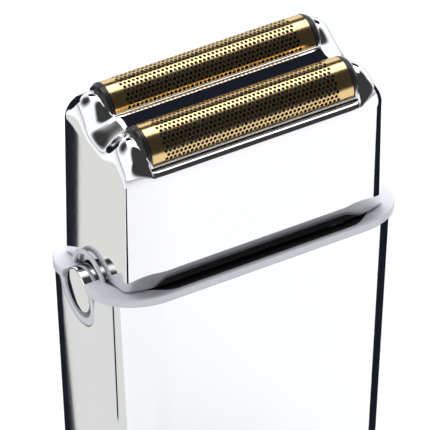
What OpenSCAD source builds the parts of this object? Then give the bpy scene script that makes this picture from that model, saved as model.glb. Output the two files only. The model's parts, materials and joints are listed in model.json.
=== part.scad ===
/* [Body] */
// Width of the body at the collar
case_w = 60; // [56:1:66]
// Depth of the body at the collar
case_d = 33.6; // [32:0.2:37]
// Width of the body at its base
base_w = 54; // [52:1:60]
// Depth of the body at its base
base_d = 30.8; // [30:0.2:34]
// Corner radius of the body, seen from above
case_r = 10.2; // [9:0.2:12]
// Height of the collar's top face at the front
neck_z = 104; // [102:1:110]
// Thickness of the body wall
wall = 1.5; // [1.2:0.1:1.6]

/* [Neck] */
// Fall of the collar from front to back, in degrees
slant = 18; // [14:1:19]
// Height of the collar's outer face
collar_h = 1.8; // [1.4:0.1:2.4]
// Radius of a release button
button_r = 4.25; // [3.6:0.05:4.3]
// Travel of a release button
button_travel = 1.4; // [1:0.1:1.5]

/* [Head] */
// Width of the head
head_w = 52.2; // [51:0.2:53]
// Depth of the head at its base
head_d = 28; // [27.4:0.2:28.4]
// Depth of the head at its top
head_top_d = 26; // [25.6:0.2:27]
// Height of the slot lips above the front of the collar
lip_h = 24.4; // [23:0.2:26]

/* [Foils and cutters] */
// Length of the gold foil
foil_l = 40; // [38:0.5:40]
// Outer radius of the foil's arch
foil_r = 4.4; // [4.2:0.05:4.5]
// Distance from the middle of the head to a foil's axis
foil_y = 6.8; // [6.6:0.1:7]
// Thickness of the foil
foil_t = 0.12; // [0.1:0.01:0.15]
// Travel of a foil and its cutter when pressed
dip = 1.5; // [1:0.1:1.6]
// Stroke of the cutters to each side
stroke = 1.2; // [0.8:0.1:1.2]
// Number of cutter blades under each foil
blades = 24; // [16:1:28]

/* [Power] */
// Height of the middle of the power switch
switch_z = 47; // [44:1:50]
// Travel of the power switch
switch_travel = 5; // [4:0.5:5]
// Radius of the charging inlet's bore
inlet_r = 1.8; // [1.5:0.1:2]
// Depth of the charging inlet's bore
inlet_depth = 9; // [8:0.5:10]
// Radius of the motor
motor_r = 11; // [10:0.5:11.5]
// Radius of the battery cell
cell_r = 9; // [7:0.5:9]

/* [Hidden] */
$fn = 64;
gap = 0.3;                                // clearance between moving pieces
neck_mid_z = neck_z - tan(slant) * case_d / 2;
neck_back_z = neck_z - tan(slant) * case_d;
button_z = neck_mid_z - 2.9;
button_hole_r = button_r + 0.85;
button_inner_x = 22;                      // inner end of a button's stem
tab_r = button_r + 3.05;                  // outside of the collar's tab
arch_r = tab_r - 0.3;                     // outside of the arch over the button
opening_w = 49.8;                         // the collar's opening
opening_d = 25.4;
lip_z = neck_z + lip_h;
foil_leg = 1.25;                          // straight part of the foil above the lip
foil_axis_z = lip_z + foil_leg;
cap_l = 2.4;                              // length of a foil end cap
slot_w = 2 * foil_r + 0.7;
slot_l = foil_l + 2 * cap_l + 0.6;
cover_t = 1.1;                            // wall of the head cover
cutter_r = foil_r - foil_t - 0.12;        // outside of a cutter blade
cutter_l = foil_l - 4;
deck_z = 88.5;                            // top of the chassis
deck_t = 2.5;
motor_z = 61.5;                           // underside of the motor
motor_l = deck_z - deck_t - motor_z;
throw = stroke;                           // offset of the eccentric pin
pin_r = 1;
bridge_z = 93;                            // underside of the oscillating bridge
bridge_t = 3.4;
stem_r = 1.6;
stem_top_z = lip_z - 2.4;
spring_seat_z = 114;                      // where the cutter springs stand
carrier_z = 121.5;                        // underside of a cutter carrier
rail_z = lip_z - 4.4;                     // underside of a foil frame
foil_seat_z = rail_z - 6;                 // where the foil springs stand
cap_h = 2;                                // rim of the base cap
cell_z = 11.5;                            // underside of the battery bay
cell_l = motor_z - 2 - cell_z;

// Plain rounded rectangle, standing on z = 0
module block(w, d, h, r) {
  linear_extrude(h) rounded(w, d, r);
}
module rounded(w, d, r) {
  square([w - 2 * r, d], center = true);
  square([w, d - 2 * r], center = true);
  for (x = [-1, 1], y = [-1, 1])
    translate([x * (w / 2 - r), y * (d / 2 - r)]) circle(r);
}
// Cylinder along X from x0 to x1
module rod_x(r, x0, x1) {
  translate([x0, 0, 0]) rotate([0, 90, 0]) cylinder(r = r, h = x1 - x0);
}
// Cylinder along Y from y0 to y1
module rod_y(r, y0, y1) {
  translate([0, y1, 0]) rotate([90, 0, 0]) cylinder(r = r, h = y1 - y0);
}
// Everything above the collar's slanted top face, moved up by rise
module above_neck(rise = 0) {
  translate([0, -case_d / 2, neck_z + rise]) rotate([-slant, 0, 0])
    translate([-50, -50, 0]) cube([100, 150, 90]);
}
module below_neck(rise = 0) {
  translate([0, -case_d / 2, neck_z + rise]) rotate([-slant, 0, 0])
    translate([-50, -50, -90]) cube([100, 150, 90]);
}
// Tapering body, inset from the outer surface by t
module tapered(t, z0, z1) {
  hull() {
    translate([0, 0, z0]) block(base_w - 2 * t, base_d - 2 * t, 0.01, case_r - 1 - t);
    translate([0, 0, z1]) block(case_w - 2 * t, case_d - 2 * t, 0.01, case_r - t);
  }
}
// Coil spring of round wire, standing on z = 0
module coil(r, wire, turns, h) {
  sides = 6;
  steps = 12 * turns;
  rings = [for (i = [0:steps]) let (a = 30 * i, z = wire + (h - 2 * wire) * i / steps)
    for (k = [0:sides - 1]) let (b = 360 * k / sides)
      [(r + wire * cos(b)) * cos(a), (r + wire * cos(b)) * sin(a), z + wire * sin(b)]];
  sheath = [for (i = [0:steps - 1], k = [0:sides - 1])
    let (n = (k + 1) % sides, a = i * sides, b = a + sides)
      [a + k, b + k, b + n, a + n]];
  ends = [[for (k = [0:sides - 1]) k],
    [for (k = [sides - 1:-1:0]) steps * sides + k]];
  polyhedron(rings, concat(sheath, ends), convexity = 6);
}
// Outline of an arch: a half circle on straight legs down to y = -leg
module arch_outline(r, leg) {
  intersection() {
    circle(r);
    translate([-r, 0]) square([2 * r, r]);
  }
  translate([-r, -leg]) square([2 * r, leg]);
}
// Arch along X, axis at the foil's axis, centred on y = side * foil_y
module arch(side, r, leg, x0, x1) {
  translate([x0, side * foil_y, foil_axis_z]) rotate([90, 0, 90])
    linear_extrude(x1 - x0) arch_outline(r, leg);
}

module housing() {
  color("silver") difference() {
    tapered(0, cap_h, neck_z);
    tapered(wall, cap_h - 0.02, neck_z + 0.02);
    above_neck(-collar_h);
    for (side = [-1, 1]) translate([0, 0, button_z]) rod_x(tab_r + 0.1, side * 30 - 4, side * 30 + 4);
    translate([-4.6, -case_d, switch_z - 11.1]) cube([9.2, case_d, 22.2]);
    translate([0, 0, switch_z - 19]) rod_y(1.25, -case_d, 0);
  }
}
module base_cap() {
  color("dimgray") difference() {
    union() {
      block(base_w, base_d, cap_h, case_r - 1);
      translate([0, 0, cap_h])
        block(base_w - 2 * wall - 0.2, base_d - 2 * wall - 0.2, 3, case_r - 2.6);
    }
    translate([0, 0, -1]) cylinder(r = inlet_r + 2.6, h = 8);
    base_screw_sites() translate([0, 0, -1]) cylinder(r = 1.25, h = 8);
    base_screw_sites() translate([0, 0, -1]) cylinder(r = 2.2, h = 2.6);
  }
}
module base_screw_sites() {
  for (side = [-1, 1]) translate([side * 18, 0, 0]) children();
}
// Cap screw whose head fills z = 0 to head, thread above it
module screw(head_r, head, thread_r, length) {
  difference() {
    cylinder(r = head_r, h = head);
    for (a = [0, 90]) rotate(a) translate([-head_r * 0.7, -0.25, -0.1]) cube([head_r * 1.4, 0.5, 0.6]);
  }
  translate([0, 0, head]) cylinder(r = thread_r, h = length);
}
module base_screws() {
  color("gainsboro") base_screw_sites() translate([0, 0, 0.4]) screw(2.05, 1.2, 1.15, 7);
}
module collar() {
  color("lightsteelblue") difference() {
    union() {
      intersection() {
        block(case_w, case_d, neck_z + 1, case_r);
        below_neck();
        above_neck(-collar_h);
      }
      intersection() {
        block(case_w - 2 * wall - 1, case_d - 2 * wall - 1, neck_z, case_r - wall);
        below_neck(-collar_h);
        above_neck(-collar_h - 2.2);
      }
      intersection() {
        block(case_w, case_d, neck_z, case_r);
        for (side = [-1, 1]) {
          translate([0, 0, button_z]) rod_x(tab_r, side * 29.2 - 0.8, side * 29.2 + 0.8);
        }
        below_neck(-collar_h + 0.4);
      }
      intersection() {
        for (side = [-1, 1])
          translate([0, 0, button_z]) rod_x(arch_r, side * 27.9 - 0.6, side * 27.9 + 0.6);
        above_neck(-1);
      }
    }
    block(opening_w, opening_d, neck_z + 9, 8);
    for (side = [-1, 1])
      translate([0, 0, button_z]) rod_x(button_hole_r, side * 28 - 4, side * 28 + 4);
    gasket_groove();
  }
}
// Ring between the collar's opening and its rim, sunk below the top face
module gasket_groove(extra = 0) {
  intersection() {
    difference() {
      translate([0, 0, 80]) block(2 * 26.4 + extra, case_d - 1.6 + extra, 30, case_r - 1);
      translate([0, 0, 79]) block(opening_w + 1.6 - extra, opening_d + 1.6 - extra, 32, 8);
      translate([-50, -opening_d / 2 + 1, 0]) cube([100, case_d, 200]);
    }
    above_neck(-0.7);
    below_neck(0.1);
  }
}
module neck_gasket() {
  color("black") intersection() {
    gasket_groove(-0.1);
    below_neck(-0.15);
  }
}
module chassis() {
  color("ivory") difference() {
    union() {
      translate([0, 0, cap_h + 3]) block(base_w - 4.6, base_d - 4.6, 2, 7);
      translate([0, 0, motor_z - 2]) block(base_w - 2.4, base_d - 2.6, 2, 7);
      translate([0, 0, deck_z - deck_t]) block(case_w - 5.4, case_d - 4.8, deck_t, 8);
      for (side = [-1, 1])
        translate([side * 23.6, 0, cap_h + 4]) block(2.2, 14, deck_z - cap_h - 5, 1);
      for (side = [-1, 1], z = [cell_z + 8, cell_z + cell_l - 8])
        translate([side * 16.6, 4, z]) block(12.4, 5, 2.4, 1);
      for (side = [-1, 1]) translate([side * 16.6, 0, motor_z + 8]) block(12.4, 8, 2.4, 1);
      base_screw_sites() translate([0, 0, cap_h + 4]) cylinder(r = 3, h = 5);
    }
    translate([0, 4, cell_z]) cylinder(r = cell_r + 0.05, h = cell_l);
    translate([0, 0, motor_z]) cylinder(r = motor_r + 0.05, h = motor_l);
    translate([0, 0, motor_z + 20]) cylinder(r = 3.3, h = 20);
    motor_screw_sites() translate([0, 0, deck_z - 5]) cylinder(r = 1.1, h = 9);
    cover_screw_sites() translate([0, 0, deck_z - deck_t - 1]) cylinder(r = 0.65, h = 9);
    base_screw_sites() translate([0, 0, 0]) cylinder(r = 1.2, h = 10);
    translate([0, 0, 0]) cylinder(r = inlet_r + 2.6, h = 9);
    translate([-21, -base_d / 2, cell_z - 1]) cube([42, 5.6, 48]);
  }
}
module battery() {
  color("mediumseagreen") translate([0, 4, cell_z + 0.6]) {
    cylinder(r = cell_r, h = cell_l - 2.2);
    translate([0, 0, cell_l - 2.2]) cylinder(r = 3, h = 0.8);
  }
}
module battery_tabs() {
  color("silver") {
    translate([-3, 2, cell_z + 0.3]) cube([6, 4, 0.3]);
    translate([-3, 2, cell_z + cell_l - 0.8]) cube([6, 4, 0.3]);
  }
}
module circuit_board() {
  color("darkgreen") difference() {
    translate([-18, -8.4, 12]) cube([36, 1.2, 42]);
    for (x = [-15, 15], z = [15, 51]) translate([x, 0, z]) rod_y(1, -10, -5);
  }
  color("dimgray") for (x = [-12, 10], z = [18, 26]) translate([x, -9.4, z]) cube([4, 1, 4]);
}
module switch_body() {
  color("gray") translate([-3.6, -11.9, switch_z - 6]) cube([7.2, 3.5, 12]);
}
module switch_bezel() {
  color("slategray") difference() {
    intersection() {
      translate([-4.5, -case_d, switch_z - 11]) cube([9, case_d, 22]);
      tapered(0.5, cap_h, neck_z);
    }
    tapered(1.6, cap_h - 1, neck_z + 1);
    translate([-1.3, -case_d, switch_z - 5.6]) cube([2.6, case_d, switch_travel + 6.2]);
  }
}
module power_slider() {
  color("darkgray") {
    translate([-3.6, slider_face_y(), switch_z - 8.4]) {
      cube([7.2, 1.2, 11]);
      for (i = [0:4]) translate([0.6, -0.4, 1.7 + 1.7 * i]) cube([6, 0.5, 0.8]);
    }
    translate([-1, slider_face_y() + 1.1, switch_z - 5.1]) cube([2, 1.9, 5]);
  }
}
// The slider's front: it floats just above its bezel all along its travel
function slider_face_y() = -(base_d + (case_d - base_d) * (switch_z + 8) / neck_z) / 2 - 0.9;
module indicator_lens() {
  color("aquamarine") translate([0, 0, switch_z - 19]) rod_y(1.2, -15.7, -8.4);
}
module charging_socket() {
  color("dimgray") translate([0, 0, 0.4]) difference() {
    cylinder(r = inlet_r + 2.5, h = inlet_depth + 1);
    translate([0, 0, -1]) cylinder(r = inlet_r, h = inlet_depth + 1);
    translate([-6, 1.5 + inlet_r, 6.4]) cube([12, 5, 9]);
  }
}
module motor_screw_sites() {
  for (side = [-1, 1]) translate([0, side * 7, 0]) children();
}
module motor() {
  color("lightgray") difference() {
    translate([0, 0, motor_z]) cylinder(r = motor_r, h = motor_l);
    translate([0, 0, motor_z + 5]) cylinder(r = pin_r + 0.05, h = 30);
    motor_screw_sites() translate([0, 0, deck_z - 6.5]) cylinder(r = 1, h = 9);
  }
}
module motor_screws() {
  color("gainsboro") motor_screw_sites()
    translate([0, 0, deck_z + 0.9]) rotate([180, 0, 0]) screw(1.8, 0.9, 0.95, 5.6);
}
module rotor_shaft() {
  color("silver") translate([0, 0, motor_z + 6]) cylinder(r = pin_r, h = deck_z + 0.7 - motor_z - 6);
}
module eccentric() {
  color("orange") {
    translate([0, 0, deck_z + 0.7]) cylinder(r = 3, h = 2.6);
    translate([0, throw, deck_z + 3.3]) cylinder(r = pin_r, h = 4);
  }
}
module oscillating_bridge() {
  color("whitesmoke") difference() {
    union() {
      translate([0, 0, bridge_z]) block(26, 19, bridge_t, 3);
      for (side = [-1, 1]) translate([0, side * foil_y, bridge_z + bridge_t]) {
        cylinder(r = 2.6, h = spring_seat_z - bridge_z - bridge_t);
        cylinder(r = stem_r, h = stem_top_z - bridge_z - bridge_t);
      }
    }
    translate([0, 0, bridge_z - 1]) cylinder(r = pin_r + throw + stroke + gap, h = bridge_t + 2);
    for (side = [-1, 1])
      translate([side * 11 - 0.2 - stroke - gap, -6.5, bridge_z - 1])
        cube([0.4 + 2 * stroke + 2 * gap, 13, 2.6]);
  }
}
module leaf_springs() {
  color("silver") for (side = [-1, 1])
    translate([side * 11 - 0.2, -6, deck_z]) cube([0.4, 12, bridge_z + 1 - deck_z]);
}
module cover_screw_sites() {
  for (x = [-17.9, 17.9], y = [-9, 9]) translate([x, y, 0]) children();
}
module drive_cover() {
  color("dimgray") difference() {
    union() {
      translate([0, 0, deck_z]) block(33, 22, 12.3, 3);
      translate([0, 0, deck_z]) block(38.6, 22, 1.2, 2);
    }
    translate([0, 0, deck_z - 1]) block(31, 20, 12, 2.4);
    for (side = [-1, 1]) translate([0, side * foil_y, deck_z + 8]) {
      translate([-stroke, 0, 0]) cylinder(r = 3, h = 9);
      translate([stroke, 0, 0]) cylinder(r = 3, h = 9);
      translate([-stroke, -3, 0]) cube([2 * stroke, 6, 9]);
    }
    cover_screw_sites() translate([0, 0, deck_z - 1]) cylinder(r = 0.65, h = 4);
  }
}
module drive_cover_screws() {
  color("gainsboro") cover_screw_sites()
    translate([0, 0, deck_z + 2]) rotate([180, 0, 0]) screw(1.1, 0.8, 0.6, 3.2);
}
module stem_seals() {
  color("black") for (side = [-1, 1])
    translate([0, side * foil_y, deck_z + 12.3]) difference() {
      block(12.4, 7.6, 0.8, 3.7);
      translate([0, 0, -1]) {
        translate([-stroke, 0, 0]) cylinder(r = 2.9, h = 4);
        translate([stroke, 0, 0]) cylinder(r = 2.9, h = 4);
        translate([-stroke, -2.9, 0]) cube([2 * stroke, 5.8, 4]);
      }
    }
}
module cutter_spring(side) {
  color("silver") translate([0, side * foil_y, spring_seat_z])
    coil(2.1, 0.22, 5, carrier_z - spring_seat_z);
}
// Bar under the blades, bored for the stem that drives it
module cutter_carrier(side) {
  color("dimgray") translate([0, side * foil_y, 0]) difference() {
    union() {
      translate([0, 0, carrier_z]) cylinder(r = 2.7, h = 3);
      translate([-cutter_l / 2, -2.7, carrier_z + 2.6]) cube([cutter_l, 5.4, 4.2]);
    }
    translate([0, 0, carrier_z - 1]) cylinder(r = stem_r + 0.05, h = stem_top_z - carrier_z + 1 + dip + 0.4);
  }
}
module cutter_blades(side) {
  blade_t = 0.5;
  pitch = (cutter_l - blade_t) / (blades - 1);
  color("lightgray") for (i = [0:blades - 1]) {
    x = -cutter_l / 2 + i * pitch;
    difference() {
      arch(side, cutter_r, 1.9, x, x + blade_t);
      arch(side, cutter_r - 1.3, 3, x - 1, x + blade_t + 1);
    }
  }
  color("lightgray") difference() {
    arch(side, cutter_r - 1.25, 1.35, -cutter_l / 2, cutter_l / 2);
    arch(side, cutter_r - 1.9, 1.5, -cutter_l / 2 - 1, cutter_l / 2 + 1);
  }
}
// Outer form of the head: a box that narrows towards the lips
module head_form(t) {
  base_z = neck_back_z - 1;
  hull() {
    translate([0, 0, base_z]) block(head_w - 2 * t, head_d - 2 * t, 0.1, 7 - t);
    translate([0, 0, lip_z - 3]) block(head_w - 0.6 - 2 * t, head_top_d - 2 * t, 0.1, 6.4 - t);
    translate([0, 0, lip_z - t]) block(head_w - 5.4 - 2 * t, head_top_d - 0.8 - 2 * t, 0.1, 4.6 - t);
  }
}
module head_cover() {
  color("silver") difference() {
    union() {
      difference() {
        head_form(0);
        below_neck(gap);
      }
      for (side = [-1, 1], end = [-1, 1]) hump(side, end, foil_r + 0.9, 24.05, 1.35);
      boss();
    }
    head_form(cover_t);
    for (side = [-1, 1]) {
      translate([-slot_l / 2, side * foil_y - slot_w / 2, lip_z - 5]) cube([slot_l, slot_w, 20]);
      translate([0, 0, button_z]) rod_x(button_r + 0.4, side * 26 - 3, side * 26 + 3);
    }
  }
}
// Low hump beside a foil's end cap, centred at x = end * middle
module hump(side, end, r, middle, half) {
  translate([0, 0, -2.4]) arch(side, r, 1.6, end * middle - half, end * middle + half);
}
// Half-round shoulder on each end of the head, above the release button
module boss() {
  for (side = [-1, 1]) difference() {
    intersection() {
      translate([0, 0, button_z]) rod_x(arch_r, side * 26.45 - 0.5, side * 26.45 + 0.5);
      above_neck(gap);
    }
    translate([0, 0, button_z]) rod_x(button_hole_r, side * 26 - 5, side * 26 + 5);
  }
}
module head_frame() {
  ring_z = neck_z + 2;
  color("dimgray") difference() {
    union() {
      translate([0, 0, ring_z]) difference() {
        block(head_w - 3.2, head_top_d - 1.6, 4, 6.4);
        translate([0, 0, -1]) block(head_w - 8, 22.4, 6, 4);
      }
      for (x = [-1, 1], y = [-1, 1])
        translate([x * 21.6, y * foil_y, ring_z]) cylinder(r = 1.9, h = foil_seat_z - ring_z);
      for (x = [-1, 1], y = [-1, 1])
        translate([x * 22.4 - 2.1, y * foil_y - 1.2, ring_z]) cube([4.2, 2.4, 4]);
      for (side = [-1, 1])
        translate([side * 24 - 0.5, -5, deck_z + 1.4]) cube([1, 10, ring_z - deck_z]);
    }
    for (side = [-1, 1]) {
      translate([0, 0, button_z]) rod_x(2.2, side * 24 - 1, side * 24 + 1);
      translate([side * 24 - 1, -2.2, deck_z]) cube([2, 4.4, button_z - deck_z]);
    }
  }
}
module foil_springs(side) {
  color("silver") for (x = [-1, 1])
    translate([x * 21.6, side * foil_y, foil_seat_z]) coil(1.4, 0.2, 5, rail_z - foil_seat_z);
}
module foil(side) {
  color("gold") difference() {
    arch(side, foil_r, foil_leg + 3, -foil_l / 2, foil_l / 2);
    arch(side, foil_r - foil_t, foil_leg + 4, -foil_l / 2 - 1, foil_l / 2 + 1);
  }
}
// End caps of a foil, joined by two rails that hold its lower edges
module foil_frame(side) {
  rail_top = foil_axis_z - foil_leg - 3;
  rail_t = 0.4;
  rail_y = foil_r - foil_t + rail_t / 2 + 0.02;
  color("dimgray") {
    for (end = [-1, 1]) {
      inner = end * (foil_l / 2 + 0.05);
      outer = end * (foil_l / 2 + cap_l);
      middle = end * (foil_l / 2 + 1.1);
      arch(side, foil_r - 0.02, foil_axis_z - rail_z, min(inner, middle), max(inner, middle));
      arch(side, foil_r - 1, foil_axis_z - rail_z, min(middle, outer), max(middle, outer));
    }
    for (edge = [-1, 1])
      translate([-foil_l / 2 - 1.1, side * foil_y + edge * rail_y - rail_t / 2, rail_z])
        cube([foil_l + 2.2, rail_t, rail_top - rail_z]);
    for (end = [-1, 1])
      translate([end * (foil_l / 2 + 0.575) - 0.525, side * foil_y - rail_y, rail_z])
        cube([1.05, 2 * rail_y, rail_top - rail_z]);
  }
}
// Disc, stem and catch in one piece, pointing inwards
module release_button(side) {
  inner = 26.6;
  color("gainsboro") translate([0, 0, button_z]) {
    rod_x(button_r, min(side * inner, side * 29.6), max(side * inner, side * 29.6));
    rod_x(1.9, min(side * button_inner_x, side * inner), max(side * button_inner_x, side * inner));
    rod_x(3.2, min(side * 22.2, side * 23.2), max(side * 22.2, side * 23.2));
  }
}
// Leaf springs behind the buttons, drawn at the end of the buttons' travel
module release_springs() {
  color("silver") for (side = [-1, 1])
    translate([side * (button_inner_x - button_travel - 0.6) - 0.25, -3, deck_z]) cube([0.5, 6, 10]);
}

housing();
base_cap();
base_screws();
collar();
neck_gasket();
chassis();
battery();
battery_tabs();
circuit_board();
switch_body();
switch_bezel();
power_slider();
indicator_lens();
charging_socket();
motor();
motor_screws();
rotor_shaft();
eccentric();
oscillating_bridge();
leaf_springs();
drive_cover();
drive_cover_screws();
stem_seals();
cutter_spring(-1);  // cutter_spring_front
cutter_spring(1);  // cutter_spring_rear
cutter_carrier(-1);  // cutter_carrier_front
cutter_carrier(1);  // cutter_carrier_rear
cutter_blades(-1);  // cutter_blades_front
cutter_blades(1);  // cutter_blades_rear
head_cover();
head_frame();
foil_springs(-1);  // foil_springs_front
foil_springs(1);  // foil_springs_rear
foil(-1);  // foil_front
foil(1);  // foil_rear
foil_frame(-1);  // foil_frame_front
foil_frame(1);  // foil_frame_rear
release_button(-1);  // release_button_left
release_button(1);  // release_button_right
release_springs();
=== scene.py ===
"""Looks of the foil shaver: chrome shells, perforated gold foils, satin collar, studio."""
import json
import math

import bmesh
import bpy
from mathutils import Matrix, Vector


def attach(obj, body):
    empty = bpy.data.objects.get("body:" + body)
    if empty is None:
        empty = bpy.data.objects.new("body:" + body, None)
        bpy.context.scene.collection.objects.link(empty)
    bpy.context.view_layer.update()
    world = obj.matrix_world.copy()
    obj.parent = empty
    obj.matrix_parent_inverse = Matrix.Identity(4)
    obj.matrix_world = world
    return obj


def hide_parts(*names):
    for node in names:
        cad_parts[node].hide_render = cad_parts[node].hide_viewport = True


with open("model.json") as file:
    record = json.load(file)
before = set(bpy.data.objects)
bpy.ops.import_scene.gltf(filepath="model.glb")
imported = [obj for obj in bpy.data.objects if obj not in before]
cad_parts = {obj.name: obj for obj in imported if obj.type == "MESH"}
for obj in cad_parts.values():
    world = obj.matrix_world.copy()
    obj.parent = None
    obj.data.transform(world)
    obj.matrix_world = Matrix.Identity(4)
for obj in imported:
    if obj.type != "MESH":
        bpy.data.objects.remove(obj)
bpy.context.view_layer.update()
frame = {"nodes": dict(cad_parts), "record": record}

MM = 0.001
SLANT = math.tan(math.radians(18))        # fall of the collar from front to back
NECK_Z = 104.0                            # front edge of the collar's top face
CASE_W, CASE_D, CASE_R = 60.0, 33.6, 10.2
BASE_W, BASE_D = 54.0, 30.8
WALL = 1.5
COLLAR_H = 1.8
BUTTON_Z = NECK_Z - SLANT * CASE_D / 2 - 2.9
BUTTON_R = 4.25
HOLE_R = 5.1
TAB_R = 6.7
LIP_Z = 128.4                             # front lip of the foil slots
BAR_RISE = 2.3                            # the bar between the slots stands above the lips
HEAD_W, HEAD_D = 52.2, 28.0
FOIL_Y, FOIL_R, FOIL_L, FOIL_LEG = 6.8, 4.39, 40.0, 1.25
FOIL_T = 0.12
SLOT_HALF = 4.65                          # from a foil's axis to the long edge of its slot
SWITCH_Z = 47.0
OPENING_W, OPENING_D = 49.8, 25.4         # the collar's opening
SIDE_SHARES = [i / 12 for i in range(12)]
HEAD_SHARES = [i / 16 for i in range(16)]
HEAD_BASE_Z = 97.0
SHOULDER_Z = LIP_Z - 2.5
SHOULDER_STEPS = 26
RIM_X = 20.4                              # where the slots' lips turn into their ends
RIM_RISE = 4.2                            # height of the humps above the lips
BAR_HALF = 2.15
HOLE = 0.33                               # radius of a hole in the foil
CAP_PROFILE = [(19.9, 4.1), (19.95, 4.34), (20.05, 4.39), (20.4, 4.39), (20.5, 4.34), (20.55, 4.24),
               (20.8, 4.2), (21.1, 4.05), (21.4, 3.8), (21.6, 3.4), (21.7, 2.9), (21.7, 2.3)]
FRONT_WIDE = 0.94                         # how much wider the collar's shelf is along the front
RIM = 0.45                                # rounding of the collar's upper edge
SHELF, SHELF_DEPTH = 1.6, 0.8             # width and depth of the collar's shelf
ARCH_IN, ARCH_OUT = 6.0, 7.0              # radii of the arch over a button
ARCH_X = (26.5, 27.15)                    # faces of the arch
SKY = 1.1                                 # brightness of the lit sky
SHADE = 0.04                              # share of it that is left in the unlit parts
LENS, SENSOR = 495.8, 36                  # mm
AZIMUTH, ELEVATION = -28.32, 40.61        # where the camera stands, degrees
TARGET_X, TARGET_DROP = -1.77, 1.97       # what it looks at: mm, and below the neck
DISTANCE = 1.060                          # metres
# unlit parts of the studio: direction, cosine where the shade starts, cosine where it is full
SHADES = [((0.25, -0.62, 0.74), 0.50, 0.70),
          ((-0.52, 0.67, 0.53), 0.84, 0.985)]


# ---------------------------------------------------------------- mesh helpers
def mesh_object(name, points, faces):
    """Smooth mesh object from points in millimetres, welded, with its normals outwards."""
    mesh = bpy.data.meshes.new(name)
    mesh.from_pydata([Vector(p) * MM for p in points], [], faces)
    work = bmesh.new()
    work.from_mesh(mesh)
    bmesh.ops.remove_doubles(work, verts=work.verts, dist=2e-6)
    bmesh.ops.recalc_face_normals(work, faces=work.faces)
    work.to_mesh(mesh)
    work.free()
    obj = bpy.data.objects.new(name, mesh)
    bpy.context.collection.objects.link(obj)
    return crease(obj)


def crease(obj, degrees=35):
    """Shades smooth, with sharp edges where faces meet at more than that angle."""
    obj.data.polygons.foreach_set("use_smooth", [True] * len(obj.data.polygons))
    obj.data.set_sharp_from_angle(angle=math.radians(degrees))
    return obj


def loft(rings, closed=True):
    """Points and quads between rings of equal length; each ring is a loop if closed."""
    count = len(rings[0])
    points = [tuple(p) for ring in rings for p in ring]
    faces = []
    for row in range(len(rings) - 1):
        for i in range(count if closed else count - 1):
            j = (i + 1) % count
            faces.append((row * count + i, row * count + j,
                          (row + 1) * count + j, (row + 1) * count + i))
    return points, faces


def outline(width, depth, radius_x, radius_y, shares, corner_steps, front_steps):
    """Counter-clockwise loop of a rounded rectangle that starts in the middle of its +X side.
    shares says how far up that straight side its points lie, the first of them at 0."""
    cx, cy = width / 2 - radius_x, depth / 2 - radius_y
    quarter = [(width / 2, cy * share) for share in shares]
    for i in range(corner_steps + 1):
        a = math.pi / 2 * i / corner_steps
        quarter.append((cx + radius_x * math.cos(a), cy + radius_y * math.sin(a)))
    for i in range(1, front_steps + 1):
        quarter.append((cx * (1 - i / front_steps), depth / 2))
    left = [(-x, y) for x, y in reversed(quarter[:-1])]
    lower_left = [(-x, -y) for x, y in quarter[1:]]
    lower_right = [(x, -y) for x, y in reversed(quarter[1:-1])]
    return quarter + left + lower_left + lower_right


def modified(obj, kind, **settings):
    """Adds a modifier to an object and applies it."""
    added = obj.modifiers.new(kind.lower(), kind)
    for key, value in settings.items():
        setattr(added, key, value)
    with bpy.context.temp_override(object=obj, active_object=obj, selected_objects=[obj]):
        bpy.ops.object.modifier_apply(modifier=added.name)
    return crease(obj)


def join(name, parts):
    """Joins parts into one object of that name."""
    with bpy.context.temp_override(object=parts[0], active_object=parts[0],
                                   selected_objects=parts, selected_editable_objects=parts):
        bpy.ops.object.join()
    parts[0].name = name
    parts[0].data.name = name
    return parts[0]


def lathe(name, profile, steps=96, start=0.0, sweep=360.0, ring=False):
    """Turns a profile of (x, radius) about the X axis. A ring profile is a closed loop."""
    rings = []
    for i in range(steps + 1):
        a = math.radians(start + sweep * i / steps)
        rings.append([(x, r * math.cos(a), r * math.sin(a)) for x, r in profile])
    count = len(profile)
    rows, faces = loft([list(r) for r in rings], closed=ring)
    if ring and sweep < 360:
        faces.append(tuple(range(count)))
        faces.append(tuple(range(steps * count, (steps + 1) * count)))
    return mesh_object(name, rows, faces)


def moved(obj, x=0.0, z=0.0, flip=False):
    """Moves an object's mesh by that many millimetres, mirrored across X first if flip."""
    for v in obj.data.vertices:
        v.co.x = (-v.co.x if flip else v.co.x) + x * MM
        v.co.z += z * MM
    if flip:
        obj.data.flip_normals()
    return obj


def cut_off(obj, point, normal):
    """Cuts away what lies on the normal's side of a plane, and closes the cut."""
    work = bmesh.new()
    work.from_mesh(obj.data)
    cut = bmesh.ops.bisect_plane(work, geom=work.verts[:] + work.edges[:] + work.faces[:],
                                 plane_co=Vector(point) * MM, plane_no=normal, clear_outer=True)
    edges = [e for e in cut["geom_cut"] if isinstance(e, bmesh.types.BMEdge)]
    bmesh.ops.edgeloop_fill(work, edges=edges)
    bmesh.ops.recalc_face_normals(work, faces=work.faces)
    work.to_mesh(obj.data)
    work.free()
    return crease(obj)


def rod(name, path, radius, closed=True):
    """Round rod of that radius along a path of points."""
    curve = bpy.data.curves.new(name, "CURVE")
    curve.dimensions = "3D"
    curve.bevel_depth = radius * MM
    curve.bevel_resolution = 3
    spline = curve.splines.new("POLY")
    spline.points.add(len(path) - 1)
    for point, spot in zip(spline.points, path):
        point.co = (*[c * MM for c in spot], 1)
    spline.use_cyclic_u = closed
    guide = bpy.data.objects.new(name, curve)
    bpy.context.collection.objects.link(guide)
    graph = bpy.context.evaluated_depsgraph_get()
    made = bpy.data.objects.new(name, bpy.data.meshes.new_from_object(guide.evaluated_get(graph)))
    bpy.data.objects.remove(guide)
    bpy.context.collection.objects.link(made)
    return crease(made, 60)


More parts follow.
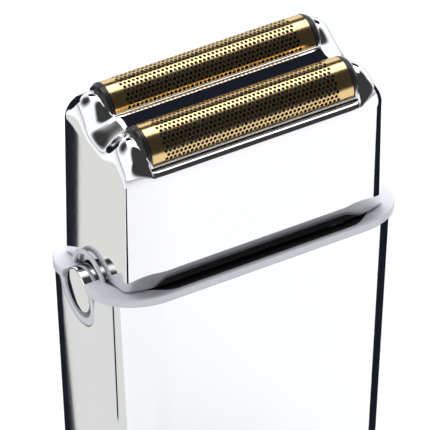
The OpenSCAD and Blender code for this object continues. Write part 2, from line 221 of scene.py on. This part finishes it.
def box(name, low, high, bevel=0.0):
    """Block between two corners, with its edges rounded."""
    xs, ys, zs = zip(low, high)
    points = [(x, y, z) for z in zs for y in ys for x in xs]
    faces = [(0, 1, 3, 2), (4, 5, 7, 6), (0, 1, 5, 4), (2, 3, 7, 6), (0, 2, 6, 4), (1, 3, 7, 5)]
    block = mesh_object(name, points, faces)
    return modified(block, "BEVEL", width=bevel * MM, segments=3) if bevel else block


# ---------------------------------------------------------------- materials
def material(name, color, metallic=0.0, roughness=0.4, grain=400.0, rough_var=0.08, bump=0.02,
             tint_var=0.04, coat=0.0, stretch=(1, 1, 1)):
    """Principled surface with fine noise in its colour, roughness and relief."""
    made = bpy.data.materials.new(name)
    made.use_nodes = True
    nodes, links = made.node_tree.nodes, made.node_tree.links
    shader = nodes["Principled BSDF"]
    shader.inputs["Metallic"].default_value = metallic
    shader.inputs["Coat Weight"].default_value = coat
    shader.inputs["Coat Roughness"].default_value = 0.08
    where = nodes.new("ShaderNodeTexCoord")
    turn = nodes.new("ShaderNodeMapping")
    turn.inputs["Scale"].default_value = stretch
    links.new(where.outputs["Object"], turn.inputs["Vector"])
    fine = nodes.new("ShaderNodeTexNoise")
    fine.inputs["Scale"].default_value = grain
    fine.inputs["Detail"].default_value = 4
    broad = nodes.new("ShaderNodeTexNoise")
    broad.inputs["Scale"].default_value = grain / 12
    for noise in (fine, broad):
        links.new(turn.outputs["Vector"], noise.inputs["Vector"])
    tint = nodes.new("ShaderNodeMix")
    tint.data_type = "RGBA"
    dark = [c * (1 - tint_var) for c in color]
    light = [min(1, c * (1 + tint_var)) for c in color]
    tint.inputs["A"].default_value = (*dark, 1)
    tint.inputs["B"].default_value = (*light, 1)
    links.new(broad.outputs["Fac"], tint.inputs["Factor"])
    links.new(tint.outputs["Result"], shader.inputs["Base Color"])
    spread = nodes.new("ShaderNodeMapRange")
    spread.inputs["To Min"].default_value = max(0.0, roughness - rough_var)
    spread.inputs["To Max"].default_value = roughness + rough_var
    links.new(fine.outputs["Fac"], spread.inputs["Value"])
    links.new(spread.outputs["Result"], shader.inputs["Roughness"])
    relief = nodes.new("ShaderNodeBump")
    relief.inputs["Strength"].default_value = bump
    relief.inputs["Distance"].default_value = 0.0002
    links.new(fine.outputs["Fac"], relief.inputs["Height"])
    links.new(relief.outputs["Normal"], shader.inputs["Normal"])
    return made


def make_materials():
    """One material for each slot of the record."""
    chrome = dict(metallic=1.0, roughness=0.045, rough_var=0.015, grain=900, bump=0.004, tint_var=0.01)
    metal = dict(metallic=1.0, roughness=0.3, rough_var=0.08, grain=1500, bump=0.03)
    plastic = dict(roughness=0.42, grain=2500, bump=0.05)
    return {
        "chrome_body": material("chrome_body", (0.90, 0.91, 0.93), **chrome),
        "chrome_head": material("chrome_head", (0.91, 0.91, 0.92), **chrome),
        "chrome_button": material("chrome_button", (0.90, 0.90, 0.90), **chrome),
        "gold_foil": material("gold_foil", (0.80, 0.57, 0.27), metallic=1.0, roughness=0.17,
                              rough_var=0.05, grain=2500, bump=0.02, tint_var=0.05),
        "satin_grey": material("satin_grey", (0.64, 0.65, 0.70), roughness=0.36, rough_var=0.05,
                               grain=3000, bump=0.04, tint_var=0.02, coat=0.15),
        "charcoal_caps": material("charcoal_caps", (0.010, 0.0095, 0.011), roughness=0.3,
                                  rough_var=0.06, grain=3000, bump=0.05, tint_var=0.1),
        "dark_plastic": material("dark_plastic", (0.045, 0.045, 0.05), **plastic),
        "white_plastic": material("white_plastic", (0.74, 0.73, 0.69), **plastic),
        "black_rubber": material("black_rubber", (0.012, 0.012, 0.013), roughness=0.6,
                                 grain=2500, bump=0.08),
        "steel": material("steel", (0.58, 0.58, 0.59), **metal),
        # the blades are painted dark grey, well below the steel colour: painted shade for the shadowed
        # space under the foils that shows through their holes
        "blade_steel": material("blade_steel", (0.16, 0.16, 0.165), stretch=(1, 1, 12), **metal),
        "nickel": material("nickel", (0.66, 0.63, 0.58), **metal),
        "motor_can": material("motor_can", (0.55, 0.56, 0.58), **metal),
        "brass": material("brass", (0.72, 0.53, 0.25), **metal),
        "cell_wrap": material("cell_wrap", (0.07, 0.30, 0.19), roughness=0.25, grain=600, bump=0.05),
        "green_board": material("green_board", (0.02, 0.13, 0.05), roughness=0.35, grain=1800, bump=0.1),
        "clear_lens": material("clear_lens", (0.70, 0.85, 0.88), roughness=0.12, rough_var=0.04,
                               grain=800, bump=0.01),
    }


# ---------------------------------------------------------------- body and collar
def collar_z(y):
    """Height of the collar's slanted top face at that depth."""
    return NECK_Z - SLANT * (y + CASE_D / 2)


def body_size(z):
    """Width and depth of the tapering body at that height."""
    share = z / NECK_Z
    return BASE_W + (CASE_W - BASE_W) * share, BASE_D + (CASE_D - BASE_D) * share


def body_ring(z):
    """Outline of the body at that height."""
    width, depth = body_size(z)
    radius = CASE_R - 1 + z / NECK_Z
    return [(x, y, z) for x, y in outline(width, depth, radius, radius, SIDE_SHARES, 30, 16)]


def housing_top(x, y):
    """Upper edge of the housing, which dips round the collar's tabs on its two ends."""
    if abs(x) > CASE_W / 3 and abs(y) < TAB_R + 0.1:
        return BUTTON_Z - math.sqrt((TAB_R + 0.1) ** 2 - y * y)
    return collar_z(y) - COLLAR_H


def make_housing():
    """Tapering chrome tube with a window for the switch."""
    window = [SWITCH_Z - 11.05, SWITCH_Z + 11.05]
    shoulder = 86.0
    heights = [2.0 + 6.0 * i for i in range(14)] + [shoulder]
    heights = sorted([z for z in heights if min(abs(z - w) for w in window) > 1.5] + window)
    rings = [body_ring(z) for z in heights]
    width, depth = body_size(shoulder)
    for i in range(1, 25):
        ring = []
        for x, y, z in rings[len(heights) - 1]:
            z += (housing_top(x, y) - z) * i / 24
            wide, deep = body_size(z)
            ring.append((x * wide / width, y * deep / depth, z))
        rings.append(ring)
    points, faces = loft(rings)
    kept = []
    for face in faces:
        x, y, z = [sum(points[i][k] for i in face) / len(face) for k in range(3)]
        if not (abs(x) < 4.6 and y < 0 and window[0] < z < window[1]):
            kept.append(face)
    shell = mesh_object("housing_shell", points, kept)
    return modified(shell, "SOLIDIFY", thickness=WALL * MM, offset=-1.0)


def ease(t):
    """Smooth step from 0 to 1."""
    t = min(1.0, max(0.0, t))
    return t * t * (3 - 2 * t)


def collar_ring(inset, drop, opening=False):
    """Loop of the collar parallel to its slanted top: inset from its outside or its opening."""
    if opening:
        loop = outline(OPENING_W + 2 * inset, OPENING_D + 2 * inset, 8 + inset, 8 + inset,
                       SIDE_SHARES, 30, 24)
        loop = [(x, y - FRONT_WIDE * inset * ease((23 - abs(x)) / 5) * (y < -8)) for x, y in loop]
    else:
        loop = outline(CASE_W - 2 * inset, CASE_D - 2 * inset, CASE_R - inset, CASE_R - inset,
                       SIDE_SHARES, 30, 24)
    return [(x, y, collar_z(y) - drop) for x, y in loop]


def make_band():
    """The collar's ring: a rounded rim outside, a shelf for the gasket inside."""
    rings = [collar_ring(2.2, COLLAR_H), collar_ring(0.05, COLLAR_H)]
    for i in range(11):
        a = math.pi / 2 * i / 10
        rings.append(collar_ring(RIM * (1 - math.cos(a)), RIM * (1 - math.sin(a))))
    for inset, drop in ((SHELF + 0.15, 0.0), (SHELF + 0.05, 0.1), (SHELF, SHELF_DEPTH),
                        (0.0, SHELF_DEPTH), (0.0, 3.4)):
        rings.append(collar_ring(inset, drop, opening=True))
    rings += [collar_ring(2.2, 3.4), rings[0]]
    return mesh_object("collar_band", *loft(rings))


def make_gasket():
    """Rubber strip that fills the front of the collar's shelf, with a rounded top."""
    rings = [collar_ring(inset, drop, opening=True)
             for inset, drop in ((1.55, 0.79), (1.55, 0.5), (1.45, 0.4), (0.2, 0.4), (0.1, 0.5),
                                 (0.1, 0.79), (1.55, 0.79))]
    gasket = mesh_object("gasket_strip", *loft(rings))
    return cut_off(gasket, (0, 1 - OPENING_D / 2, 0), (0, 1, 0))


def make_tab():
    """Ring round the right button's hole, flush with the body, its edges softened."""
    soft = 0.3
    outer = CASE_W / 2
    arc = [math.pi / 2 * i / 4 for i in range(5)]
    profile = [(outer - 2.4, HOLE_R)]
    profile += [(outer - soft * (1 - math.sin(a)), HOLE_R + soft * (1 - math.cos(a))) for a in arc]
    profile += [(outer - soft * (1 - math.cos(a)), TAB_R - soft * (1 - math.sin(a))) for a in arc]
    profile += [(outer - 2.4, TAB_R)]
    tab = moved(lathe("collar_tab", profile, ring=True), z=BUTTON_Z)
    lean = (CASE_W - BASE_W) / 2 / NECK_Z
    for v in tab.data.vertices:
        v.co.x -= lean * (NECK_Z * MM - v.co.z)
    return cut_off(tab, (0, 0, collar_z(0) - 0.9), (0, SLANT, 1))


def make_arch():
    """Half ring above the right button, cut off level with the collar's top."""
    soft = 0.28
    middle, thick = (ARCH_IN + ARCH_OUT) / 2, (ARCH_OUT - ARCH_IN) / 2
    centre, half = sum(ARCH_X) / 2, (ARCH_X[1] - ARCH_X[0]) / 2
    corners = [(1, 1, 0), (-1, 1, 90), (-1, -1, 180), (1, -1, 270)]
    profile = []
    for sx, sr, turn in corners:
        for i in range(5):
            a = math.radians(turn + 90 * i / 4)
            profile.append((centre + sx * (half - soft) + soft * math.cos(a),
                            middle + sr * (thick - soft) + soft * math.sin(a)))
    arch = lathe("collar_arch", profile, steps=64, start=-10, sweep=200, ring=True)
    moved(arch, z=BUTTON_Z)
    return cut_off(arch, (0, 0, collar_z(0) - 0.5), (0, -SLANT, -1))


def make_collar():
    """Satin ring with its two tabs and the arches over the buttons."""
    band = make_band()
    parts = [band]
    for side in (-1, 1):
        flip = side < 0
        hole = lathe("hole", [(-6, 0), (-6, HOLE_R), (6, HOLE_R), (6, 0)])
        moved(hole, x=side * CASE_W / 2, z=BUTTON_Z)
        modified(band, "BOOLEAN", operation="DIFFERENCE", object=hole, solver="EXACT")
        bpy.data.objects.remove(hole)
        parts.append(moved(make_tab(), flip=flip))
        parts.append(moved(make_arch(), flip=flip))
    return crease(join("collar_ring", parts))


def make_button():
    """Turned release button: slightly domed disc, stem and catch."""
    face = CASE_W / 2 - 0.4
    inner, stem = 22.0, 1.9
    profile = [(inner, 0), (inner, stem), (inner + 0.2, stem), (inner + 0.2, 3.2),
               (inner + 1.2, 3.2), (inner + 1.2, stem), (26.6, stem), (26.6, BUTTON_R)]
    for i in range(6):
        a = math.pi / 2 * i / 5
        profile.append((face - 0.3 * (1 - math.sin(a)), BUTTON_R - 0.3 * (1 - math.cos(a))))
    for i in range(1, 9):
        r = (BUTTON_R - 0.3) * (1 - i / 8)
        profile.append((face + 0.18 * (1 - (r / BUTTON_R) ** 2), r))
    return moved(lathe("release_button", profile), z=BUTTON_Z)


# ---------------------------------------------------------------- head
def head_ring(z):
    """Outline of the head at that height: flat ends, and a front that curves gently."""
    share = (z - HEAD_BASE_Z) / (LIP_Z - HEAD_BASE_Z)
    width = HEAD_W - 0.6 * share
    depth = HEAD_D - 1.8 * share
    return outline(width, depth, 9.5 - 1.5 * share, 3.3 - 1.3 * share, HEAD_SHARES, 30, 20)


def head_point(index, z):
    """Point of the head's wall at that height."""
    x, y = head_low[index]
    x1, y1 = head_high[index]
    share = (z - HEAD_BASE_Z) / (LIP_Z - HEAD_BASE_Z)
    return Vector((x + (x1 - x) * share, y + (y1 - y) * share, z))


def head_bottom(x, y):
    """Lower edge of the head: just above the collar, with a notch for each button."""
    edge = collar_z(y) + 0.3
    if abs(x) > HEAD_W / 3 and abs(y) < BUTTON_R + 0.4:
        return max(edge, BUTTON_Z + math.sqrt((BUTTON_R + 0.4) ** 2 - y * y))
    return edge


def hump(y):
    """How far up the arch beside a foil's end a point of the rim is: 0 on the lips, 1 on top."""
    across = (abs(y) - FOIL_Y) / SLOT_HALF
    return math.sqrt(max(0.0, 1 - across * across))


def rim_point(side, y):
    """Point of a slot's rim at an end of the head."""
    bar = BAR_RISE * min(1.0, max(0.0, (9 - abs(y)) / 4))
    height = ((RIM_RISE * hump(y)) ** 6 + bar ** 6) ** (1 / 6)
    return Vector((side * (RIM_X + 1.4 * hump(y) ** 2), y, LIP_Z + height))


def rim_of(index):
    """Point of the slots' rim that faces a point of the head's wall."""
    x, y = head_high[index]
    lip_y = FOIL_Y + SLOT_HALF
    limit = max(abs(b) for a, b in head_high if abs(a) >= RIM_X)
    if abs(x) < RIM_X:
        return Vector((x, math.copysign(lip_y, y), LIP_Z))
    return rim_point(math.copysign(1, x), y * lip_y / limit)


def shoulder(index):
    """Curve from the head's wall over its shoulder to the rim."""
    start = head_point(index, SHOULDER_Z)
    rim = rim_of(index)
    out = Vector((start.x - rim.x, start.y - rim.y, 0))
    away = abs(start.y)
    crest = math.exp(-((away - 7.4) / 3.0) ** 2)
    valley = math.exp(-(away / 3.4) ** 2)
    if abs(start.x) > RIM_X:
        first = start + Vector((0, 0, 1.9 + 2.3 * crest + 0.4 * valley))
        second = rim + out * (0.6 + 0.15 * valley) + Vector((0, 0, 0.1 * crest - 2.0 * valley))
    else:
        first = start + Vector((0, 0, 2.3))
        second = rim + out * 0.75
    curve = []
    for i in range(SHOULDER_STEPS + 1):
        t = i / SHOULDER_STEPS
        t = t * t * (3 - 2 * t) * 0.35 + t * 0.65
        s = 1 - t
        curve.append(start * s ** 3 + first * 3 * s * s * t + second * 3 * s * t * t + rim * t ** 3)
    return curve


def make_head():
    """Chrome head: walls, saddle-shaped ends, the bar between the slots and the bright lips."""
    count = len(head_low)
    rings = []
    for i in range(22):
        ring = []
        for k in range(count):
            x, y = head_low[k]
            low = head_bottom(x, y)
            ring.append(head_point(k, low + (SHOULDER_Z - low) * i / 21))
        rings.append(ring)
    curves = [shoulder(k) for k in range(count)]
    for i in range(1, SHOULDER_STEPS + 1):
        rings.append([curves[k][i] for k in range(count)])
    points, faces = loft(rings)
    ends = {}
    for k in range(count):
        rim = rings[-1][k]
        if abs(rim.y) < BAR_HALF + 0.01 and abs(rim.x) > RIM_X / 2:
            ends.setdefault(rim.x > 0, []).append(rim)
    left, right = [sorted(ends[key], key=lambda p: p.y) for key in (False, True)]
    strip = [[a.lerp(b, i / 30) for a, b in zip(left, right)] for i in range(31)]
    more, quads = loft(strip, closed=False)
    faces += [tuple(i + len(points) for i in quad) for quad in quads]
    shell = mesh_object("head_shell", points + more, faces)
    modified(shell, "SOLIDIFY", thickness=1.1 * MM, offset=-1.0)
    lips = [rod("slot_lip", slot_path(y0), 0.27) for y0 in (-FOIL_Y, FOIL_Y)]
    return join("head_shell", [shell] + lips)


def slot_path(y0):
    """Closed path round a slot, just inside its edge."""
    half = SLOT_HALF - 0.05
    path = []
    for side in (1, -1):
        for i in range(41):
            y = y0 - side * half * math.cos(math.pi * i / 40)
            spot = rim_point(side, y)
            path.append((spot.x - side * 0.05, y, spot.z - 0.1))
    return path


# ---------------------------------------------------------------- foils
def make_foil(side):
    """Thin sheet bent over the cutters, pierced by staggered rows of round holes."""
    pitch = FOIL_L / 48
    bend = math.pi * (FOIL_R - FOIL_T / 2)
    leg = FOIL_LEG + 2.9
    length = bend + 2 * leg
    rows = 2 * round(length / 0.375 / 2)
    dx, dt = pitch / 4, length / rows
    columns = round(FOIL_L / dx)
    margin_x, margin_t = 11, round((leg - 0.55) / dt)
    points, index, faces = [], {}, []

    def vertex(u, t):
        key = (round(u, 5), round(t, 5))
        if key not in index:
            index[key] = len(points)
            points.append(on_foil(side, u, t, leg, bend))
        return index[key]

    pierced = set()
    for line, j in enumerate(range(margin_t, rows - margin_t - 1, 2)):
        for i in range(margin_x + 2 * (line % 2), columns - margin_x - 5, 4):
            pierced.update((i + a, j + b) for a in range(4) for b in range(2))
            middle = ((i + 2) * dx, (j + 1) * dt)
            border = [(i, j), (i + 1, j), (i + 2, j), (i + 3, j), (i + 4, j), (i + 4, j + 1),
                      (i + 4, j + 2), (i + 3, j + 2), (i + 2, j + 2), (i + 1, j + 2),
                      (i, j + 2), (i, j + 1)]
            edge = [(a * dx, b * dt) for a, b in border]
            hole = []
            for a, b in edge:
                turn = math.atan2(b - middle[1], a - middle[0])
                hole.append((middle[0] + HOLE * math.cos(turn), middle[1] + HOLE * math.sin(turn)))
            for k in range(12):
                n = (k + 1) % 12
                faces.append(tuple(vertex(*p) for p in (edge[k], edge[n], hole[n], hole[k])))
    for i in range(columns):
        for j in range(rows):
            if (i, j) not in pierced:
                faces.append(tuple(vertex(a * dx, b * dt)
                                   for a, b in ((i, j), (i + 1, j), (i + 1, j + 1), (i, j + 1))))
    sheet = mesh_object("foil_sheet", points, faces)
    normals_up(sheet)
    return modified(sheet, "SOLIDIFY", thickness=FOIL_T * MM, offset=0.0)


def on_foil(side, u, t, leg, bend):
    """Point of the foil's middle surface, u along it and t across it from its front edge."""
    r = FOIL_R - FOIL_T / 2
    axis_z = LIP_Z + FOIL_LEG
    if t < leg:
        y, z = -r, t - leg
    elif t > leg + bend:
        y, z = r, leg + bend - t
    else:
        a = (t - leg) / r
        y, z = -r * math.cos(a), r * math.sin(a)
    return (u - FOIL_L / 2, side * FOIL_Y + y, axis_z + z)


def normals_up(obj):
    """Turns an open sheet's faces so that its crown faces up."""
    top = max(obj.data.polygons, key=lambda p: p.center.z)
    if top.normal.z < 0:
        obj.data.flip_normals()


def make_frame(side):
    """Charcoal end caps of a foil, joined by two rails under its edges."""
    parts = []
    for end in (-1, 1):
        rings = []
        for x, r in CAP_PROFILE:
            loop = [(-r, -FOIL_LEG - 4.3)]
            loop += [(-r * math.cos(math.pi * i / 48), r * math.sin(math.pi * i / 48))
                     for i in range(49)]
            loop += [(r, -FOIL_LEG - 4.3)]
            rings.append([(end * x, side * FOIL_Y + y, LIP_Z + FOIL_LEG + z) for y, z in loop])
        points, faces = loft(rings)
        count = len(rings[0])
        faces.append(tuple(range(count)))
        faces.append(tuple(range(len(points) - count, len(points))))
        parts.append(mesh_object("foil_cap", points, faces))
    for edge in (-1, 1):
        y = side * FOIL_Y + edge * (FOIL_R + 0.1)
        parts.append(box("foil_rail", (-21.0, y - 0.2, LIP_Z - 4.4), (21.0, y + 0.2, LIP_Z - 3.0),
                         0.1))
    return join("foil_frame", parts)


# ---------------------------------------------------------------- studio
def area_light(name, spot, size, power, target=(0, 0, 0.09)):
    """Square soft light that faces the shaver."""
    lamp = bpy.data.lights.new(name, "AREA")
    lamp.shape = "RECTANGLE"
    lamp.size, lamp.size_y = size
    lamp.energy = power
    holder = bpy.data.objects.new(name, lamp)
    holder.location = spot
    holder.rotation_euler = (Vector(target) - Vector(spot)).to_track_quat("-Z", "Y").to_euler()
    bpy.context.collection.objects.link(holder)
    return holder


def emitter(name, color, strength):
    """Plain glowing material of a studio card."""
    made = bpy.data.materials.new(name)
    made.use_nodes = True
    nodes, links = made.node_tree.nodes, made.node_tree.links
    nodes.remove(nodes["Principled BSDF"])
    glow = nodes.new("ShaderNodeEmission")
    glow.inputs["Color"].default_value = (*color, 1)
    glow.inputs["Strength"].default_value = strength
    links.new(glow.outputs["Emission"], nodes["Material Output"].inputs["Surface"])
    return made


def card(name, centre, size, facing, shade):
    """Card that only shows in reflections."""
    w, h = size[0] / 2, size[1] / 2
    obj = mesh_object(name, [(-w, -h, 0), (w, -h, 0), (w, h, 0), (-w, h, 0)], [(0, 1, 2, 3)])
    obj.location = Vector(centre) * MM
    obj.rotation_euler = Vector(facing).to_track_quat("Z", "Y").to_euler()
    obj.data.materials.append(shade)
    obj.visible_camera = False
    obj.visible_diffuse = False
    obj.visible_shadow = False
    return obj


def make_floor():
    """Plain pale floor."""
    floor = mesh_object("floor", [(-4000, -4000, 0), (4000, -4000, 0), (4000, 4000, 0),
                                  (-4000, 4000, 0)], [(0, 1, 2, 3)])
    floor.data.materials.append(material("floor_paper", (0.86, 0.86, 0.87), roughness=0.9,
                                         grain=30, bump=0.0, rough_var=0.02, tint_var=0.005))


def make_sky():
    """Even white sky with the unlit parts of the studio in it."""
    world = bpy.data.worlds.new("studio")
    world.use_nodes = True
    bpy.context.scene.world = world
    nodes, links = world.node_tree.nodes, world.node_tree.links
    where = nodes.new("ShaderNodeTexCoord")
    light = None
    for spot, start, full in SHADES:
        toward = nodes.new("ShaderNodeVectorMath")
        toward.operation = "DOT_PRODUCT"
        toward.inputs[1].default_value = Vector(spot).normalized()
        links.new(where.outputs["Generated"], toward.inputs[0])
        fade = nodes.new("ShaderNodeMapRange")
        fade.interpolation_type = "SMOOTHSTEP"
        fade.inputs["From Min"].default_value = start
        fade.inputs["From Max"].default_value = full
        fade.inputs["To Min"].default_value = 1.0
        fade.inputs["To Max"].default_value = SHADE
        links.new(toward.outputs["Value"], fade.inputs["Value"])
        both = nodes.new("ShaderNodeMath")
        both.operation = "MULTIPLY"
        both.inputs[0].default_value = SKY
        if light:
            links.new(light, both.inputs[0])
        links.new(fade.outputs["Result"], both.inputs[1])
        light = both.outputs["Value"]
    links.new(light, nodes["Background"].inputs["Strength"])
    nodes["Background"].inputs["Color"].default_value = (0.97, 0.985, 1.0, 1)


def make_lights():
    """Soft panel overhead, and fills that the chrome doesn't show."""
    area_light("overhead", (0.19, 0.36, 0.89), (1.0, 0.5), 3.5)
    for spot, power in (((0.2, 0.4, 1.2), 9), ((0.5, -0.9, 0.35), 3)):
        fill = area_light("soft_fill", spot, (0.8, 0.5), power)
        fill.visible_glossy = False


def make_cards():
    """Cards that draw the grey end panel and the dark lines in the chrome."""
    black = emitter("card_black", (0.01, 0.012, 0.02), 1.0)
    grey = emitter("card_grey", (0.76, 0.765, 0.74), 1.0)
    card("card_grey", (-130, 85, 1), (220, 240), (0, 0, 1), grey)
    card("card_left", (-34.9, 57.3, 50), (31.8, 170), (0.3, -1, 0), black)
    card("card_right", (73, -20, 50), (28, 170), (-1, 0.2, 0), black)
    card("card_line_body", (-99, -7, 12), (5, 56), (1, 0, 0), black)
    card("card_line_head", (-87, -45, 65), (22, 50), (1, 0.3, 0), black)
    card("card_back", (228, 429, 483), (600, 220), (-0.38, -0.715, -0.588), black)


def make_camera():
    """Long lens from the front left and above, as the photo was taken."""
    lens = bpy.data.cameras.new("camera")
    lens.lens = LENS
    lens.sensor_width = SENSOR
    lens.clip_start, lens.clip_end = 0.05, 20
    camera = bpy.data.objects.new("camera", lens)
    azimuth, elevation = math.radians(AZIMUTH), math.radians(ELEVATION)
    back = Vector((math.sin(azimuth) * math.cos(elevation),
                   -math.cos(azimuth) * math.cos(elevation), math.sin(elevation)))
    camera.location = Vector((TARGET_X, 0, NECK_Z - TARGET_DROP)) * MM + back * DISTANCE
    camera.rotation_mode = "QUATERNION"
    camera.rotation_quaternion = back.to_track_quat("Z", "Y")
    bpy.context.collection.objects.link(camera)
    bpy.context.scene.camera = camera


# ---------------------------------------------------------------- build
head_low = head_ring(HEAD_BASE_Z)
head_high = head_ring(LIP_Z)
looks = make_materials()

for node, shown in frame["nodes"].items():
    wanted = next(p["material_slot"] for p in frame["record"]["subparts"] if p["node"] == node)
    shown.data.materials.clear()
    shown.data.materials.append(looks[wanted])


def dress(piece, body, slot, *nodes):
    """Gives a piece its finish, the body it rides on and the CAD nodes it stands for."""
    piece.data.materials.clear()
    piece.data.materials.append(looks[slot])
    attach(piece, body)
    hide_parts(*nodes)


dress(make_housing(), "shaver_body", "chrome_body", "housing")
dress(make_collar(), "shaver_body", "satin_grey", "collar")
dress(make_gasket(), "shaver_body", "black_rubber", "neck_gasket")
dress(make_head(), "head", "chrome_head", "head_cover")
for side, end in ((-1, "front"), (1, "rear")):
    foil = make_foil(side)
    foil.name = "foil_sheet_" + end
    dress(foil, "foil_unit_" + end, "gold_foil", "foil_" + end)
    caps = make_frame(side)
    caps.name = "foil_caps_" + end
    dress(caps, "foil_unit_" + end, "charcoal_caps", "foil_frame_" + end)
for side, end in ((-1, "left"), (1, "right")):
    button = moved(make_button(), flip=side < 0)
    button.name = "button_disc_" + end
    dress(button, "button_" + end, "chrome_button", "release_button_" + end)

make_floor()
make_sky()
make_lights()
make_cards()
make_camera()
bpy.context.scene.view_settings.view_transform = "Standard"
